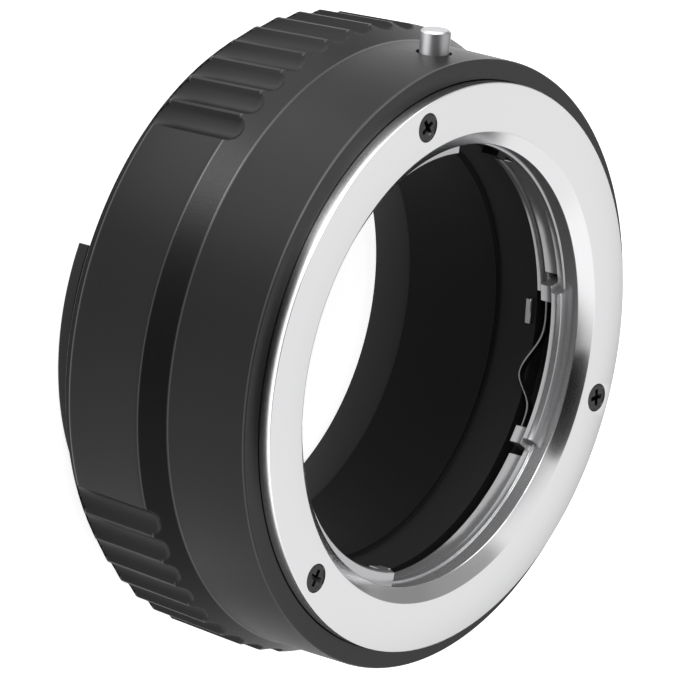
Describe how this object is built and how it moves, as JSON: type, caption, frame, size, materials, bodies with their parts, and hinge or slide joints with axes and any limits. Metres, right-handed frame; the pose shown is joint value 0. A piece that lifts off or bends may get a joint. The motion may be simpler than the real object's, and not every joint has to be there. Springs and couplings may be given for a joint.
{
  "type": "lens mount adapter",
  "caption": "Short fluted barrel that mounts a bayonet SLR lens on a mirrorless camera, with a chromed lens bayonet, a sprung release pin and a black camera bayonet",
  "frame": {"origin": "On the optical axis, in the plane of the camera-side flange.", "axes": "+Z is the optical axis, towards the lens. +Y points to the release pin. +X completes the right-handed frame."},
  "size_m": [0.066, 0.067, 0.0303],
  "materials": {
    "black_anodised": "satin black anodised",
    "satin_chrome": "satin chrome, fine turned",
    "screw_chrome": "bright plated",
    "pin_steel": "turned steel",
    "spring_steel": "spring steel",
    "black_ring": "matt black anodised",
    "black_screw": "blackened steel"
  },
  "bodies": {
    "adapter": {"body_barrel": "black_anodised", "lens_mount_ring": "satin_chrome", "lens_ring_screws": "screw_chrome", "release_pin_spring": "spring_steel", "lock_lever_pivot": "spring_steel", "lock_lever_spring": "spring_steel", "stop_down_tab": "pin_steel", "camera_mount_ring": "black_ring", "camera_ring_screws": "black_screw", "leaf_spring_1": "spring_steel", "leaf_spring_2": "spring_steel", "leaf_spring_3": "spring_steel"},
    "release_pin": {"release_pin": "pin_steel"},
    "lock_lever": {"lock_lever": "spring_steel"}
  },
  "joints": [
    {"name": "release_push", "type": "slide", "parent": "adapter", "child": "release_pin", "axis": [0, -1, 0], "range_m": [0, 0.001], "stiffness_N_per_m": 800, "springref_m": -0.001, "deforming": ["release_pin_spring"]},
    {"name": "lock_swing", "type": "hinge", "parent": "adapter", "child": "lock_lever", "pos_m": [0.006, 0.02653, 0.02165], "axis": [0, 0, 1], "range_deg": [0, 11.5], "deforming": ["lock_lever_spring"]}
  ],
  "couplings": [
    {"joint": "lock_swing", "follows": "release_push", "rad_per_m": 200}
  ]
}
